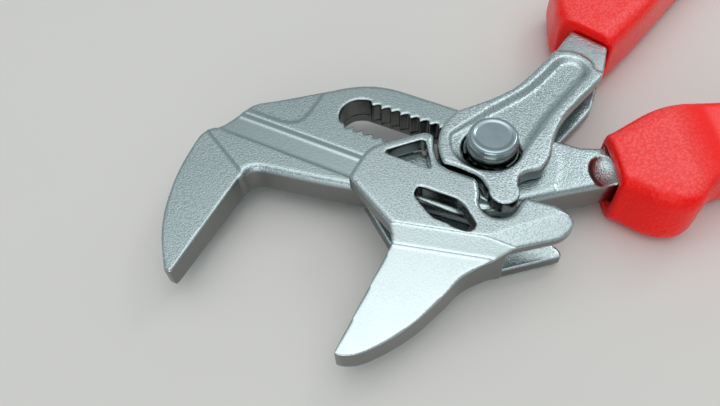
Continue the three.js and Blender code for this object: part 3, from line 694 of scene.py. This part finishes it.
@dataclass
class PhotoCamera:
    """Camera at the photograph's place and angle."""

    place: Point = (17.6, -82.6, 113.1)
    heading: float = -30.44
    dip: float = 54.7
    roll: float = -4.52
    lens: float = 32.0
    sensor: float = 36.0

    def build(self) -> bpy.types.Object:
        """Makes the camera and gives it to the scene.

        Returns:
            The camera's object.
        """
        turn, dip, roll = (math.radians(angle) for angle in (self.heading, self.dip, self.roll))
        right = Vector((math.cos(turn), -math.sin(turn), 0))
        forward = Vector((math.sin(turn), math.cos(turn), 0))
        up = Vector((0, 0, 1))
        raised = forward * math.sin(dip) + up * math.cos(dip)
        axis_x = right * math.cos(roll) + raised * math.sin(roll)
        axis_y = raised * math.cos(roll) - right * math.sin(roll)
        axis_z = axis_x.cross(axis_y)
        data = bpy.data.cameras.new("photo_camera")
        data.lens = self.lens
        data.sensor_width = self.sensor
        data.clip_start = 1 * MM
        camera = bpy.data.objects.new("photo_camera", data)
        turned = Matrix((axis_x, axis_y, axis_z)).transposed().to_4x4()
        camera.matrix_world = Matrix.Translation(Vector(self.place) * MM) @ turned
        scene = bpy.context.scene
        scene.collection.objects.link(camera)
        scene.camera = camera
        return camera


class LampRole(Enum):
    """What a lamp does in the studio."""

    OVERHEAD = "overhead"
    BACK = "back"


@dataclass(frozen=True)
class Lamp:
    """Soft box that points at the tool."""

    role: LampRole
    place: Point
    size: float
    power: float

    def build(self, target: Vector) -> None:
        """Makes the lamp.

        Args:
            target: point in metres that it faces.
        """
        data = bpy.data.lights.new(f"{self.role.value}_lamp", "AREA")
        data.size = self.size * MM
        data.energy = self.power
        lamp = bpy.data.objects.new(f"{self.role.value}_lamp", data)
        lamp.location = Vector(self.place) * MM
        lamp.rotation_euler = (target - lamp.location).to_track_quat("-Z", "Y").to_euler()
        bpy.context.scene.collection.objects.link(lamp)


@dataclass
class Studio:
    """Pale floor, soft world light and lamps."""

    floor_half: float = 3000.0
    floor_colour: Colour = (0.66, 0.65, 0.63, 1)
    floor_shade: Colour = (0.63, 0.62, 0.60, 1)
    floor_cloud: float = 60.0
    floor_roughness: float = 0.75
    sky: Sequence[tuple[float, Colour]] = (
        (0.0, (0.215, 0.230, 0.233, 1)),
        (0.6, (0.232, 0.250, 0.254, 1)),
        (0.72, (0.265, 0.286, 0.290, 1)),
        (0.80, (0.440, 0.462, 0.466, 1)),
        (0.89, (0.685, 0.69, 0.685, 1)),
        (1.0, (1.0, 1.0, 1.0, 1)),
    )
    sky_strength: float = 1.9
    window: Point = (0.24, -0.92, 0.3)
    window_reach: tuple[float, float] = (0.89, 0.99)
    window_colour: Colour = (1.05, 1.07, 1.07, 1)
    target: Point = (0.0, 0.0, 8.0)
    lamps: Sequence[Lamp] = field(default_factory=lambda: (
        Lamp(LampRole.OVERHEAD, (-70.0, 105.0, 520.0), 260.0, 0.06),
        Lamp(LampRole.BACK, (113.0, 370.0, 383.0), 120.0, 0.21),
    ))

    def build(self) -> None:
        """Makes the floor, the world and the lamps."""
        self.floor()
        self.world()
        for lamp in self.lamps:
            lamp.build(Vector(self.target) * MM)

    def floor(self) -> None:
        """Makes the plain pale floor."""
        half = self.floor_half * MM
        corners = [(-half, -half, 0), (half, -half, 0), (half, half, 0), (-half, half, 0)]
        mesh = bpy.data.meshes.new("floor")
        mesh.from_pydata(corners, [], [(0, 1, 2, 3)])
        material, graph = new_material("floor_paint")
        cloud = graph.noise(graph.place(), self.floor_cloud, 2.0)
        graph.finish({
            "Base Color": graph.mix_colours(cloud, self.floor_colour, self.floor_shade),
            "Roughness": self.floor_roughness,
        })
        mesh.materials.append(material)
        floor = bpy.data.objects.new("floor", mesh)
        bpy.context.scene.collection.objects.link(floor)

    def world(self) -> None:
        """Makes a sky that brightens from the horizon to the zenith, with a soft window low in front."""
        world = bpy.data.worlds.new("studio")
        bpy.context.scene.world = world
        world.use_nodes = True
        graph = Graph(world.node_tree)
        direction = graph.out("ShaderNodeTexCoord", {}, {}, "Generated")
        height = graph.out("ShaderNodeSeparateXYZ", {}, {"Vector": direction}, "Z")
        sky = graph.out("ShaderNodeValToRGB", {"stops": self.sky}, {"Fac": height})
        facing = {0: direction, 1: Vector(self.window).normalized()}
        nearness = graph.out("ShaderNodeVectorMath", {"operation": "DOT_PRODUCT"}, facing, "Value")
        colour = graph.mix_colours(nearness.rise(*self.window_reach), sky, self.window_colour)
        background = graph.out("ShaderNodeBackground", {}, {"Color": colour, "Strength": self.sky_strength})
        graph.node("ShaderNodeOutputWorld", {}, {"Surface": background})


def main() -> None:
    """Builds the camera, the studio and the dressed tool."""
    logging.basicConfig(level=logging.INFO)
    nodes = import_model()["nodes"]
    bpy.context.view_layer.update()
    bpy.context.scene.view_settings.view_transform = "Standard"
    PhotoCamera().build()
    Studio().build()
    for group in (Forgings(), Bolt(), Grips()):
        for part in group.parts():
            piece = part.build(nodes)
            LOG.info("dressed %s", piece.name)


if __name__ == "__main__":
    main()
